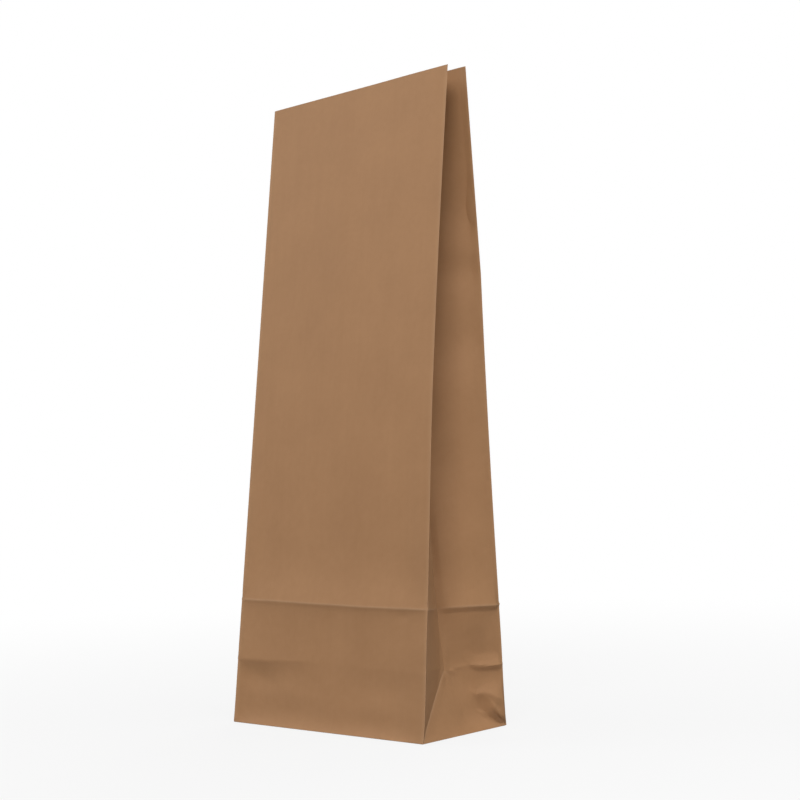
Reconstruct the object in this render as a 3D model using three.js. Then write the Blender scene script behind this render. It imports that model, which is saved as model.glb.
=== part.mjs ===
import * as THREE from "three";

// A tall kraft paper sack with a block bottom and side gussets, standing open.
// Millimetres. X runs along the wide front, Y from the front to the back, Z up the sack.
// The origin is the middle of the base, on the surface that the sack stands on.

// The flat paper: lengths along the sheet, which folding does not change.
const FRONT_WIDTH = 260;
const BASE_DEPTH = 130;
const PAPER_HEIGHT = 650;
const LEAF = BASE_DEPTH / 2; // half of a side gusset, from a corner fold to its centre fold
const WALL = 0.6;
const FLOOR = 1.2; // the glued flaps of the block bottom, one over the other

// How the sack stands: its mouth is nearly shut, leans back and is turned a little.
const MOUTH_GAP = 25;
const MOUTH_RIGHT = 6;
const MOUTH_BACK = 18.3;
const MOUTH_TURN = THREE.MathUtils.degToRad(-3.6);
const BASE_SKEW = 2; // the front base corners stand this far right of square, the back ones left
const APEX_DEPTH = 25.5; // how far the tip of each bottom triangle is pushed in

// The two creases that run round the sack, left by the way it was folded flat.
const LOW_CREASE = LEAF;
const HIGH_CREASE = 124;
const LOW_RELIEF = -0.8; // outward is positive
const HIGH_RELIEF = 1.2;
const RELIEF_REACH = 20; // up and down the paper from a crease

// The right corner folds bow outward: amount, and the height up the paper of the most bow.
const FRONT_BOW = 4.8;
const FRONT_BOW_START = 80;
const FRONT_BOW_PEAK = 345;
const BACK_BOW = 3.9;
const BACK_BOW_START = 180;
const BACK_BOW_PEAK = 446;

// How finely the paper is faceted.
const PANEL_COLUMNS = 8;
const LEAF_COLUMNS = 4;
const BASE_ROWS = LEAF_COLUMNS; // as many as the columns, so that the diagonal folds meet vertices
const BAND_ROWS = 4;
const BODY_ROWS = 20;

const KRAFT = 0x9e7b5a;
const PAPER_ROUGHNESS = 0.85;

const lerp = THREE.MathUtils.lerp;

function between(a, b, share) {
  return new THREE.Vector3().lerpVectors(a, b, share);
}

// A bow that swells smoothly up to its peak and falls off along a quarter wave to the mouth.
function smoothBow(v) {
  if (v < FRONT_BOW_PEAK) {
    return FRONT_BOW * THREE.MathUtils.smoothstep(v, FRONT_BOW_START, FRONT_BOW_PEAK);
  }
  const fall = (v - FRONT_BOW_PEAK) / (PAPER_HEIGHT - FRONT_BOW_PEAK);
  return FRONT_BOW * Math.cos((fall * Math.PI) / 2);
}

// A bow with a soft kink: it grows with the square of the height, then falls straight to the mouth.
function kinkedBow(v) {
  if (v < BACK_BOW_PEAK) {
    const rise = Math.max(0, (v - BACK_BOW_START) / (BACK_BOW_PEAK - BACK_BOW_START));
    return BACK_BOW * rise * rise;
  }
  return BACK_BOW * (1 - (v - BACK_BOW_PEAK) / (PAPER_HEIGHT - BACK_BOW_PEAK));
}

function noBow() {
  return 0;
}

// Outward relief of the paper beside the two round creases.
function creaseRelief(v) {
  const low = Math.max(0, 1 - Math.abs(v - LOW_CREASE) / RELIEF_REACH);
  const high = Math.max(0, 1 - Math.abs(v - HIGH_CREASE) / RELIEF_REACH);
  return low * LOW_RELIEF + high * HIGH_RELIEF;
}

// A corner fold of the sack, as a function of the height v up the paper. It runs from a base
// corner to a mouth corner and keeps the length of the paper. side is -1 left or 1 right,
// face is -1 front or 1 back.
function cornerFold(side, face, bow) {
  const foot = new THREE.Vector3((side * FRONT_WIDTH) / 2 - face * BASE_SKEW, face * LEAF, 0);
  const head = new THREE.Vector3((side * FRONT_WIDTH) / 2, (face * MOUTH_GAP) / 2, 0);
  head.applyAxisAngle(new THREE.Vector3(0, 0, 1), MOUTH_TURN);
  head.x += MOUTH_RIGHT;
  head.y += MOUTH_BACK;
  head.z = Math.sqrt(PAPER_HEIGHT ** 2 - (head.x - foot.x) ** 2 - (head.y - foot.y) ** 2);
  return (v) => {
    const point = between(foot, head, v / PAPER_HEIGHT);
    point.y += face * (bow(v) + creaseRelief(v));
    return point;
  };
}

// The front or the back: straight across from one corner fold to the other.
function panel(first, last) {
  return (share, v) => between(first(v), last(v), share);
}

// The unit vector level with the floor, square to the line from a to b and pointing to its left,
// which is into the sack when the sack is walked round anticlockwise.
function inward(a, b) {
  return new THREE.Vector3(a.y - b.y, b.x - a.x, 0).normalize();
}

// The centre fold of a gusset above the bottom triangle: both leaves keep their width, and the
// fold hangs lower than the corner folds by the same drop all the way up.
function centreFold(first, last, drop) {
  return (v) => {
    const a = first(v);
    const b = last(v);
    const halfGap = a.distanceTo(b) / 2;
    const depth = Math.sqrt(LEAF ** 2 - halfGap ** 2 - drop ** 2);
    const point = between(a, b, 0.5).addScaledVector(inward(a, b), depth);
    point.z -= drop;
    return point;
  };
}

// A side gusset between two corner folds. Below the apex it is a triangle that stands on the base
// and leans inward, with a leaf on each side of it; above the apex it is two leaves folded into a V.
function gusset(first, last) {
  const footA = first(0);
  const footB = last(0);
  const apexHeight = Math.sqrt(LEAF ** 2 - APEX_DEPTH ** 2);
  const centre = centreFold(first, last, first(LEAF).z - apexHeight);
  const apex = between(footA, footB, 0.5).addScaledVector(inward(footA, footB), APEX_DEPTH);
  apex.z = apexHeight;

  function onTriangle(share, v) {
    const base = between(footA, footB, share);
    const upslope = apex.clone().sub(between(footA, footB, 0.5));
    return base.addScaledVector(upslope, v / LEAF);
  }

  function innerEnd(share, v) {
    return v > LEAF ? centre(v) : onTriangle(share, v);
  }

  return (share, v) => {
    const reach = Math.min(v / BASE_DEPTH, 0.5); // the share of the width that one leaf takes up
    if (share >= reach && share <= 1 - reach) {
      return innerEnd(share, v);
    }
    return share < reach
      ? between(first(v), innerEnd(reach, v), share / reach)
      : between(last(v), innerEnd(1 - reach, v), (1 - share) / reach);
  };
}

// Heights of the rows up the paper, with rows on the apexes and on both creases.
function rowHeights() {
  const rows = [];
  for (let i = 0; i < BASE_ROWS; i++) {
    rows.push(lerp(0, LOW_CREASE, i / BASE_ROWS));
  }
  for (let i = 0; i < BAND_ROWS; i++) {
    rows.push(lerp(LOW_CREASE, HIGH_CREASE, i / BAND_ROWS));
  }
  for (let i = 0; i <= BODY_ROWS; i++) {
    rows.push(lerp(HIGH_CREASE, PAPER_HEIGHT, i / BODY_ROWS));
  }
  return rows;
}

// The walk round the sack, anticlockwise from the front left corner. Each stop knows its
// surface, its share of the way across it, and which way the quad after it is divided.
function columnStops() {
  const frontLeft = cornerFold(-1, -1, noBow);
  const frontRight = cornerFold(1, -1, smoothBow);
  const backRight = cornerFold(1, 1, kinkedBow);
  const backLeft = cornerFold(-1, 1, noBow);
  const faces = [
    { surface: panel(frontLeft, frontRight), columns: PANEL_COLUMNS },
    { surface: gusset(frontRight, backRight), columns: 2 * LEAF_COLUMNS },
    { surface: panel(backRight, backLeft), columns: PANEL_COLUMNS },
    { surface: gusset(backLeft, frontLeft), columns: 2 * LEAF_COLUMNS },
  ];
  return faces.flatMap(({ surface, columns }) =>
    Array.from({ length: columns }, (_, i) => ({
      surface,
      share: i / columns,
      risesForward: i < columns / 2,
    })),
  );
}

// The same closed row of points, moved level and inward by the wall. Corners are mitred.
function insetRow(row) {
  const count = row.length;
  return row.map((point, i) => {
    const before = inward(row[(i + count - 1) % count], point);
    const after = inward(point, row[(i + 1) % count]);
    const mitre = before.clone().add(after).divideScalar(1 + before.dot(after));
    return point.clone().addScaledVector(mitre, WALL);
  });
}

function middleOf(row) {
  const sum = row.reduce((total, point) => total.add(point), new THREE.Vector3());
  return sum.divideScalar(row.length);
}

// Triangles between two neighbouring closed rows, facing away from the sack's inside.
function addBand(faces, lower, upper, stops) {
  for (let i = 0; i < lower.length; i++) {
    const j = (i + 1) % lower.length;
    const [a, b, c, d] = [lower[i], lower[j], upper[j], upper[i]];
    if (stops[i].risesForward) {
      faces.push([a, b, c], [a, c, d]);
    } else {
      faces.push([a, b, d], [b, c, d]);
    }
  }
}

// A flat floor over one closed row, facing down.
function addFloor(faces, row) {
  const middle = middleOf(row);
  for (let i = 0; i < row.length; i++) {
    faces.push([middle, row[(i + 1) % row.length], row[i]]);
  }
}

// A closed skin from the floor to the mouth, facing out.
function skinFaces(rows, stops) {
  const faces = [];
  addFloor(faces, rows[0]);
  for (let k = 1; k < rows.length; k++) {
    addBand(faces, rows[k - 1], rows[k], stops);
  }
  return faces;
}

function sackGeometry() {
  const stops = columnStops();
  const outer = rowHeights().map((v) => stops.map(({ surface, share }) => surface(share, v)));
  const inner = outer.map(insetRow);
  inner[0].forEach((point) => point.setZ(FLOOR));
  const faces = skinFaces(outer, stops);
  for (const [a, b, c] of skinFaces(inner, stops)) {
    faces.push([a, c, b]); // the inner skin faces the room inside the sack
  }
  addBand(faces, outer.at(-1), inner.at(-1), stops); // the cut edge round the mouth
  const geometry = new THREE.BufferGeometry().setFromPoints(faces.flat());
  geometry.computeVertexNormals();
  return geometry;
}

const paper = new THREE.MeshStandardMaterial({
  color: KRAFT,
  roughness: PAPER_ROUGHNESS,
  metalness: 0,
});
const sack = new THREE.Mesh(sackGeometry(), paper);
sack.name = "sack";

const model = new THREE.Group();
model.add(sack);

export default model;
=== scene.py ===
"""A tall kraft paper sack with a block bottom and side gussets, standing open.

Metres. X runs along the wide front, Y from the front to the back, Z up the sack. The origin
is the middle of the base, on the surface that the sack stands on. The sack is one glued tube
of paper, so every point of it has a place on the flat sheet: u goes round the girth from the
front left fold, anticlockwise seen from above, and v goes up the paper from the base.
"""

import logging
from collections.abc import Sequence
from dataclasses import dataclass
from enum import Enum
from math import cos, pi, radians, sin

import bpy
import numpy as np
from mathutils import Matrix, Vector


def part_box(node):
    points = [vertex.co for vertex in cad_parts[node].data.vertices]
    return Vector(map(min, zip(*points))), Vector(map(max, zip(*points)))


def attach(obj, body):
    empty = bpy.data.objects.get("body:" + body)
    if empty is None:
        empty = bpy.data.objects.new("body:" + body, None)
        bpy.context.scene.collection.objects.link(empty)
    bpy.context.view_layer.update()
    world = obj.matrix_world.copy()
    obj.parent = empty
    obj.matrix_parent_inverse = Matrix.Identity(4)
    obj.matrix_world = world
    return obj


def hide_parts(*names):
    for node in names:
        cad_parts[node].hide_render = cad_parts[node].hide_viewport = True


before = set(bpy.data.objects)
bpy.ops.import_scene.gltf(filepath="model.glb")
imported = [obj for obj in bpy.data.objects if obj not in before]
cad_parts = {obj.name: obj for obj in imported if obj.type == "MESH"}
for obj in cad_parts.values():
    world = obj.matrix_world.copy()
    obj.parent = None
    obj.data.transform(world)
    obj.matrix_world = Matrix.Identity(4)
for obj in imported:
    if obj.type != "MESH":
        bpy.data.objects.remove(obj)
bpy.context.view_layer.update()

Array = np.ndarray
Colour = tuple[float, float, float]
MM = 0.001
BODY = "root"
CAD_SACK = "sack"
SHEET_MAP = "sheet"
# Mask that lightens the paper along folds: scuffing and a painted highlight, standing in for light
# that a rounded fold catches.
WEAR_AND_HIGHLIGHT = "wear_and_highlight"
TINY = 1e-9  # keeps a division clear of zero
LOG = logging.getLogger("sack")


def smooth(t: Array) -> Array:
    """Ease t from 0 to 1: 3 t squared less 2 t cubed, held flat outside 0 to 1.

    Args:
        t: Shares of the way, of any shape.

    Returns:
        The eased shares.
    """
    t = np.clip(t, 0.0, 1.0)
    return t * t * (3.0 - 2.0 * t)


def lerp(a: Array, b: Array, share: Array) -> Array:
    """The points that lie the given share of the way from a to b."""
    return a + (b - a) * share


def unit(vectors: Array) -> Array:
    """The vectors over their own lengths, along the last axis."""
    return vectors / np.linalg.norm(vectors, axis=-1, keepdims=True)


def millimetres(rows: Sequence[Sequence[float]]) -> list[tuple[float, ...]]:
    """Rows of sizes in millimetres, turned into metres."""
    return [tuple(size * MM for size in row) for row in rows]


def along_girth(u: Array, stops: Sequence[Sequence[float]], column: int) -> Array:
    """One number of the stops, whose first is their place, evened out between them.

    Args:
        u: Places round the girth.
        stops: The stops, in order round the girth.
        column: Which number of a stop.

    Returns:
        The number at each place.
    """
    return np.interp(u, [stop[0] for stop in stops], [stop[column] for stop in stops])


def dress(piece: bpy.types.Object) -> bpy.types.Object:
    """Give a piece of paper its place in the frame.

    Args:
        piece: The piece.

    Returns:
        The same piece.
    """
    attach(piece, BODY)
    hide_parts(CAD_SACK)
    return piece


# ---------------------------------------------------------------- the flat paper


@dataclass(frozen=True)
class FlatPaper:
    """The glued tube of paper that the sack is folded from, in metres.

    Attributes:
        front: Width of the front, and of the back.
        depth: Width of a side gusset.
        height: Height of the paper from the base to the mouth.
        thickness: Thickness of the sheet.
    """

    front: float
    depth: float
    height: float
    thickness: float = 0.18 * MM

    @classmethod
    def from_frame(cls) -> "FlatPaper":
        """The paper of a sack as deep as the CAD one, in the proportions 1 to 2 to 5.

        Returns:
            The paper, twice as wide and five times as high as the sack is deep.
        """
        low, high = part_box(CAD_SACK)
        depth = high[1] - low[1]
        return cls(front=2.0 * depth, depth=depth, height=5.0 * depth)

    @property
    def leaf(self) -> float:
        """Half of a side gusset, from a corner fold to its centre fold."""
        return self.depth / 2.0

    @property
    def girth(self) -> float:
        """The way round the tube."""
        return 2.0 * (self.front + self.depth)

    @property
    def corners(self) -> Array:
        """The places round the girth of the four corner folds, and the end of the walk."""
        widths = [0.0, self.front, self.depth, self.front, self.depth]
        return np.cumsum(widths)

    @property
    def gusset_starts(self) -> tuple[float, float]:
        """The places round the girth where the right and the left gusset begin."""
        corners = self.corners
        return float(corners[1]), float(corners[3])

    def beside(self, across: float) -> Array:
        """The place on the sheet map, 1.2 girths along, where the paper under the base lies."""
        return np.array([1.2 * self.girth, across])


@dataclass(frozen=True)
class Oval:
    """A soft-edged oval place on the sheet.

    Attributes:
        u: Place of its middle round the girth.
        v: Height of its middle up the paper.
        length: Reach along its long way.
        width: Reach across.
        turn: Turn of its long way from level, in radians, anticlockwise seen from outside.
    """

    u: float
    v: float
    length: float
    width: float
    turn: float

    def weight(self, u: Array, v: Array) -> Array:
        """How far inside a point is: e to the minus squared distance, in reaches of the oval.

        Args:
            u: Places round the girth.
            v: Heights up the paper.

        Returns:
            The weights, 1 at the middle.
        """
        du, dv = u - self.u, v - self.v
        along = (du * cos(self.turn) + dv * sin(self.turn)) / self.length
        across = (dv * cos(self.turn) - du * sin(self.turn)) / self.width
        return np.exp(-(along**2) - across**2)

    def core(self, u: Array, v: Array) -> Array:
        """The weight made steeper: 2.5 times the weight less 0.5, held between 0 and 1."""
        return np.clip(2.5 * self.weight(u, v) - 0.5, 0.0, 1.0)


# ---------------------------------------------------------------- the folded form


class Bow(Enum):
    """How a corner fold bows outward on its way up."""

    NONE = "none"
    SMOOTH = "smooth"
    KINKED = "kinked"


@dataclass(frozen=True)
class Stance:
    """How the sack stands: the leaning mouth, the skewed base and the bowed folds.

    Attributes:
        mouth_gap: Opening of the mouth from front to back.
        mouth_right: How far the middle of the mouth lies right of the base's middle.
        mouth_back: How far it leans back.
        mouth_turn: Turn of the mouth about the vertical, in radians.
        base_skew: How far the front base corners stand right, and the back ones left.
        apex_depth: How far the tip of each bottom triangle is pushed in.
        smooth_bow: Most bow, its start and its peak up the paper, of the front right fold.
        kinked_bow: The same of the back right fold.
        flare: How far the walls draw in above the base, the height that takes, and the
            heights up the paper between which they come out again.
        base_radius: Radius that the paper turns under the base with.
        lift: Height of the base above the floor, which the glued flaps fill.
    """

    mouth_gap: float = 25.0 * MM
    mouth_right: float = 6.0 * MM
    mouth_back: float = 18.3 * MM
    mouth_turn: float = radians(-3.6)
    base_skew: float = 2.0 * MM
    apex_depth: float = 25.5 * MM
    smooth_bow: tuple[float, float, float] = (4.8 * MM, 80.0 * MM, 345.0 * MM)
    kinked_bow: tuple[float, float, float] = (3.9 * MM, 180.0 * MM, 446.0 * MM)
    flare: tuple[float, float, float, float] = (1.4 * MM, 6.0 * MM, 30.0 * MM, 90.0 * MM)
    base_radius: float = 1.0 * MM
    lift: float = 0.5 * MM

    def bow(self, kind: Bow, v: Array, height: float) -> Array:
        """Outward bow of a corner fold.

        A smooth bow eases up to its peak and falls off along a quarter wave to the mouth. A
        kinked one grows with the square of the height, then falls straight to the mouth.

        Args:
            kind: Which bow the fold has.
            v: Heights up the paper.
            height: Height of the paper.

        Returns:
            The bow at each height, in metres.
        """
        if kind is Bow.NONE:
            return np.zeros_like(v)
        most, start, peak = self.smooth_bow if kind is Bow.SMOOTH else self.kinked_bow
        rise = np.clip((v - start) / (peak - start), 0.0, 1.0)
        fall = np.clip((v - peak) / (height - peak), 0.0, 1.0)
        if kind is Bow.SMOOTH:
            return most * smooth(rise) * np.cos(fall * pi / 2.0)
        return most * rise**2 * (1.0 - fall)

    def draw_in(self, v: Array) -> Array:
        """How far the walls draw in above the base fold, which stands out like a foot.

        The depth times (1 - e^(-v / height)), eased away between the last two heights.

        Args:
            v: Heights up the paper.

        Returns:
            The inward offset, in metres.
        """
        depth, height, start, end = self.flare
        return depth * (1.0 - np.exp(-v / height)) * (1.0 - smooth((v - start) / (end - start)))


@dataclass(frozen=True)
class CornerFold:
    """A corner fold of the sack, from a base corner to a mouth corner.

    Attributes:
        paper: The flat paper.
        stance: How the sack stands.
        side: -1 at the left, 1 at the right.
        face: -1 at the front, 1 at the back.
        bow: How the fold bows outward.
        flare: Its share of the flare at the base.
    """

    paper: FlatPaper
    stance: Stance
    side: int
    face: int
    bow: Bow = Bow.NONE
    flare: float = 0.2

    @property
    def foot(self) -> Array:
        """The base corner."""
        half_width = self.side * self.paper.front / 2.0
        return np.array(
            [half_width - self.face * self.stance.base_skew, self.face * self.paper.leaf, 0.0]
        )

    @property
    def head(self) -> Array:
        """The mouth corner, as high as the length of the paper lets it stand.

        Its height is the square root of the paper's height squared less the level run squared.

        Returns:
            The point.
        """
        stance = self.stance
        x = self.side * self.paper.front / 2.0
        y = self.face * stance.mouth_gap / 2.0
        c, s = cos(stance.mouth_turn), sin(stance.mouth_turn)
        point = np.array([x * c - y * s + stance.mouth_right, x * s + y * c + stance.mouth_back])
        run = point - self.foot[:2]
        return np.append(point, np.sqrt(self.paper.height**2 - run @ run))

    def curve(self, v: Array) -> Array:
        """The fold: straight from foot to head, with the bow and the flare added.

        Args:
            v: Heights up the paper, n of them.

        Returns:
            The points, n by 3.
        """
        points = lerp(self.foot, self.head, (v / self.paper.height)[:, None])
        outward = self.stance.bow(self.bow, v, self.paper.height)
        points[:, 1] += self.face * (outward - self.flare * self.stance.draw_in(v))
        return points


def inward(a: Array, b: Array) -> Array:
    """Unit vectors level with the floor, square to a to b, pointing into the sack.

    Args:
        a: Points on the fold that the anticlockwise walk meets first.
        b: Points on the next fold.

    Returns:
        The vectors, as many as the points.
    """
    across = b - a
    level = np.stack([-across[..., 1], across[..., 0], np.zeros_like(across[..., 0])], axis=-1)
    return unit(level)


@dataclass(frozen=True)
class Form:
    """The folded form of the sack as smooth surfaces, one to a face of the tube.

    Attributes:
        paper: The flat paper.
        stance: How the sack stands.
        unpressed: Where a diagonal fold was never pressed, measured from the start of the
            right gusset, so that the paper turns in a wide curve.
        curve: Radius that the paper is evened out over there.
        samples: How many points of a circle of that radius are averaged.
    """

    paper: FlatPaper
    stance: Stance
    unpressed: Oval = Oval(91.0 * MM, 40.0 * MM, 34.0 * MM, 16.0 * MM, radians(-45.0))
    curve: float = 13.0 * MM
    samples: int = 12

    @property
    def folds(self) -> list[CornerFold]:
        """The corner folds in the order of the walk.

        Returns:
            The four folds, with the first one again at the end.
        """
        corners = [
            CornerFold(self.paper, self.stance, -1, -1),
            CornerFold(self.paper, self.stance, 1, -1, Bow.SMOOTH, flare=1.0),
            CornerFold(self.paper, self.stance, 1, 1, Bow.KINKED, flare=0.6),
            CornerFold(self.paper, self.stance, -1, 1),
        ]
        return [*corners, corners[0]]

    def panel(self, first: CornerFold, last: CornerFold, share: Array, v: Array) -> Array:
        """The front or the back: straight across from one corner fold to the other.

        Args:
            first: The fold where the face begins.
            last: The fold where it ends.
            share: Shares of the way across, one to a column.
            v: Heights up the paper, one to a row.

        Returns:
            The points, rows by columns by 3.
        """
        return lerp(first.curve(v)[:, None], last.curve(v)[:, None], share[None, :, None])

    def gusset(self, first: CornerFold, last: CornerFold, share: Array, v: Array) -> Array:
        """A side gusset, folded in along its centre.

        Below the apex it is a triangle that stands on the base and leans inward, with a leaf
        on each side of it that reaches the corner fold. Above the apex it is two leaves that
        keep their width, so the centre fold lies the third side of a right triangle behind
        the middle of the gap, and hangs lower than the corner folds by one drop.

        Args:
            first: The fold where the face begins.
            last: The fold where it ends.
            share: Shares of the way across, one to a column.
            v: Heights up the paper, one to a row.

        Returns:
            The points, rows by columns by 3.
        """
        leaf, inset = self.paper.leaf, self.stance.apex_depth
        a, b = first.curve(v)[:, None], last.curve(v)[:, None]
        apex_height = np.sqrt(leaf**2 - inset**2)
        drop = first.curve(np.array([leaf]))[0, 2] - apex_height
        half_gap = np.linalg.norm(b - a, axis=-1, keepdims=True) / 2.0
        behind = np.sqrt(leaf**2 - half_gap**2 - drop**2)
        centre = (a + b) / 2.0 + inward(a, b) * behind - np.array([0.0, 0.0, drop])

        foot_a, foot_b = first.foot, last.foot
        slope = inward(foot_a, foot_b) * inset + np.array([0.0, 0.0, apex_height])
        reach = np.minimum(v / self.paper.depth, 0.5)[:, None]
        across = np.clip(share[None, :], reach, 1.0 - reach)[..., None]
        up = (v / leaf)[:, None, None]
        triangle = lerp(foot_a, foot_b, across) + slope * up
        inner = np.where(up > 1.0, centre, triangle)

        wide = np.maximum(reach, TINY)
        from_a = np.clip(share[None, :] / wide, 0.0, 1.0)[..., None]
        from_b = np.clip((1.0 - share[None, :]) / wide, 0.0, 1.0)[..., None]
        near_a = (share[None, :] < 0.5)[..., None]
        return np.where(near_a, lerp(a, inner, from_a), lerp(b, inner, from_b))

    def softened(self, first: CornerFold, last: CornerFold, share: Array, v: Array) -> Array:
        """A gusset whose unpressed fold is evened out.

        There the surface is mixed with the mean of itself, moved over the sheet to the points
        of two circles, one at the radius of the curve and one at half of it.

        Args:
            first: The fold where the face begins.
            last: The fold where it ends.
            share: Shares of the way across, one to a column.
            v: Heights up the paper, one to a row.

        Returns:
            The points, rows by columns by 3.
        """
        sharp = self.gusset(first, last, share, v)
        low = v < 2.0 * self.paper.leaf
        turns = np.arange(self.samples) * 2.0 * pi / self.samples
        moved = [
            self.gusset(
                first,
                last,
                share + reach * cos(turn) / self.paper.depth,
                np.maximum(v[low] + reach * sin(turn), 0.0),
            )
            for turn in turns
            for reach in (self.curve / 2.0, self.curve)
        ]
        mask = self.unpressed.core(*np.meshgrid(share * self.paper.depth, v[low]))[..., None]
        sharp[low] = lerp(sharp[low], np.mean(moved, axis=0), mask)
        return sharp

    def rounded(self, points: Array, v: Array) -> Array:
        """Turn the lowest rows under the base along a quarter circle.

        A row at v between minus and plus the radius stands at the angle 45 degrees times
        1 + v / radius on the circle: its height is radius (1 - cos angle), and it is drawn in
        by radius (1 - sin angle) on every side.

        Args:
            points: The ring points, rows by columns by 3, whose rows below the base fold
                repeat the row at the fold.
            v: Heights up the paper, one to a row, below 0 under the base.

        Returns:
            The points with the base rounded and raised by the lift.
        """
        radius = self.stance.base_radius
        angle = np.clip(pi / 4.0 * (1.0 + v / radius), 0.0, pi / 2.0)
        drawn = radius * (1.0 - np.sin(angle))
        rise = np.where(v < radius, radius * (1.0 - np.cos(angle)) - np.maximum(v, 0.0), 0.0)
        out = points.copy()
        out[..., 0] *= (1.0 - drawn / (self.paper.front / 2.0))[:, None]
        out[..., 1] *= (1.0 - drawn / self.paper.leaf)[:, None]
        out[..., 2] += rise[:, None] + self.stance.lift
        return out

    def ring(self, columns: "Columns", v: Array) -> Array:
        """The whole tube on a grid.

        Args:
            columns: The columns of the grid, round the girth.
            v: Heights up the paper, one to a row.

        Returns:
            The points, rows by columns by 3.
        """
        height = np.maximum(v, 0.0)
        makers = (self.panel, self.softened, self.panel, self.gusset)
        faces = [
            make(first, last, columns.shares(index), height)
            for index, (make, first, last) in enumerate(
                zip(makers, self.folds[:-1], self.folds[1:])
            )
        ]
        return self.rounded(np.concatenate(faces, axis=1), v)


# ---------------------------------------------------------------- relief of the paper


class Fall(Enum):
    """How one part of a ridge falls off beside its line."""

    QUICK = "quick"
    ROUND = "round"
    STRAIGHT = "straight"

    def share(self, x: Array) -> Array:
        """What is left at x reaches: e^-x, e^-(x squared), or 1 - x down to 0.

        Args:
            x: Distances in reaches, from 0.

        Returns:
            The shares, from 1 down to 0.
        """
        if self is Fall.QUICK:
            return np.exp(-x)
        if self is Fall.ROUND:
            return np.exp(-(x**2))
        return np.clip(1.0 - x, 0.0, 1.0)


@dataclass(frozen=True)
class Ridge:
    """A fold line left across the paper, raised along the line and levelling out beside it.

    Each side levels out in parts, given as (fall, share of the lift, reach). The shares of
    both sides add up to the same, 1 for a ridge and 0 for a sway beside the line. A share
    below 0 makes a hollow.

    Attributes:
        stops: Points of the line as (u, v, lift), in order round the girth. The lift is 0
            where the ridge dies out.
        above: The parts of the side up the paper.
        below: The parts of the side down the paper.
        calm: How far from a corner fold the ridge reaches its full size.
        round_off: How far from the line its sharp crest is rounded.
        corner_share: Its size at a corner fold.
    """

    stops: Sequence[tuple[float, float, float]]
    above: Sequence[tuple[Fall, float, float]]
    below: Sequence[tuple[Fall, float, float]]
    calm: float
    round_off: float = 0.7 * MM
    corner_share: float = 0.06

    @classmethod
    def at(
        cls,
        stops: Sequence[tuple[float, float, float]],
        above: Sequence[tuple[Fall, float, float]],
        below: Sequence[tuple[Fall, float, float]],
        calm: float = 6.0,
    ) -> "Ridge":
        """A ridge from sizes in millimetres.

        Args:
            stops: Points of the line as (u, v, lift).
            above: The parts of the side up the paper.
            below: The parts of the side down the paper.
            calm: How far from a corner fold the ridge reaches its full size.

        Returns:
            The ridge.
        """
        sides = [[(fall, share, reach * MM) for fall, share, reach in s] for s in (above, below)]
        return cls(millimetres(stops), *sides, calm * MM)

    def line(self, u: Array) -> Array:
        """The height up the paper of the fold line at each place round the girth."""
        return along_girth(u, self.stops, 1)

    def lift(self, u: Array) -> Array:
        """The lift of the fold line at each place round the girth."""
        return along_girth(u, self.stops, 2)

    def relief(self, u: Array, v: Array, away: Array) -> Array:
        """The lift times the sum of each part's share times what its fall leaves.

        The distance is the square root of off squared plus round_off squared, less round_off.
        Beside a corner fold the lift and the reaches shrink alike, so the slopes stay.

        Args:
            u: Places round the girth.
            v: Heights up the paper.
            away: Way round the girth from each place to the nearest corner fold.

        Returns:
            The outward relief, in metres.
        """
        off = v - self.line(u)
        size = lerp(self.corner_share, 1.0, smooth(away / self.calm))
        distance = (np.hypot(off, self.round_off) - self.round_off) / size
        sides = [
            sum(share * fall.share(distance / reach) for fall, share, reach in parts)
            for parts in (self.above, self.below)
        ]
        return self.lift(u) * size * np.where(off > 0.0, *sides)


@dataclass(frozen=True)
class Foot:
    """How the walls draw in above the base fold, which stands out like the edge of a foot.

    Attributes:
        stops: Points round the girth as (u, depth).
        height: Height over which most of the depth is reached.
        fade: Heights up the paper between which the walls come out again.
    """

    stops: Sequence[tuple[float, float]]
    height: float = 8.5 * MM
    fade: tuple[float, float] = (24.0 * MM, 170.0 * MM)

    def relief(self, u: Array, v: Array) -> Array:
        """Less the depth times (1 - e^(-v / height)), eased away over the fade.

        Args:
            u: Places round the girth.
            v: Heights up the paper.

        Returns:
            The outward relief, in metres, which is below 0.
        """
        start, end = self.fade
        rise = 1.0 - np.exp(-np.maximum(v, 0.0) / self.height)
        return -along_girth(u, self.stops, 1) * rise * (1.0 - smooth((v - start) / (end - start)))


@dataclass(frozen=True)
class Dimple:
    """A soft bump or hollow: an oval whose middle stands out by the lift, or in below 0."""

    place: Oval
    lift: float

    @classmethod
    def at(
        cls, u: float, v: float, length: float, width: float, turn: float, lift: float
    ) -> "Dimple":
        """A dimple from sizes in millimetres and a turn in degrees.

        Args:
            u: Place of its middle round the girth.
            v: Height of its middle up the paper.
            length: Reach along its long way.
            width: Reach across.
            turn: Turn of its long way from level.
            lift: Outward relief of its middle.

        Returns:
            The dimple.
        """
        return cls(Oval(u * MM, v * MM, length * MM, width * MM, radians(turn)), lift * MM)

    def relief(self, u: Array, v: Array) -> Array:
        """The lift times the oval's weight at each place."""
        return self.lift * self.place.weight(u, v)


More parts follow.
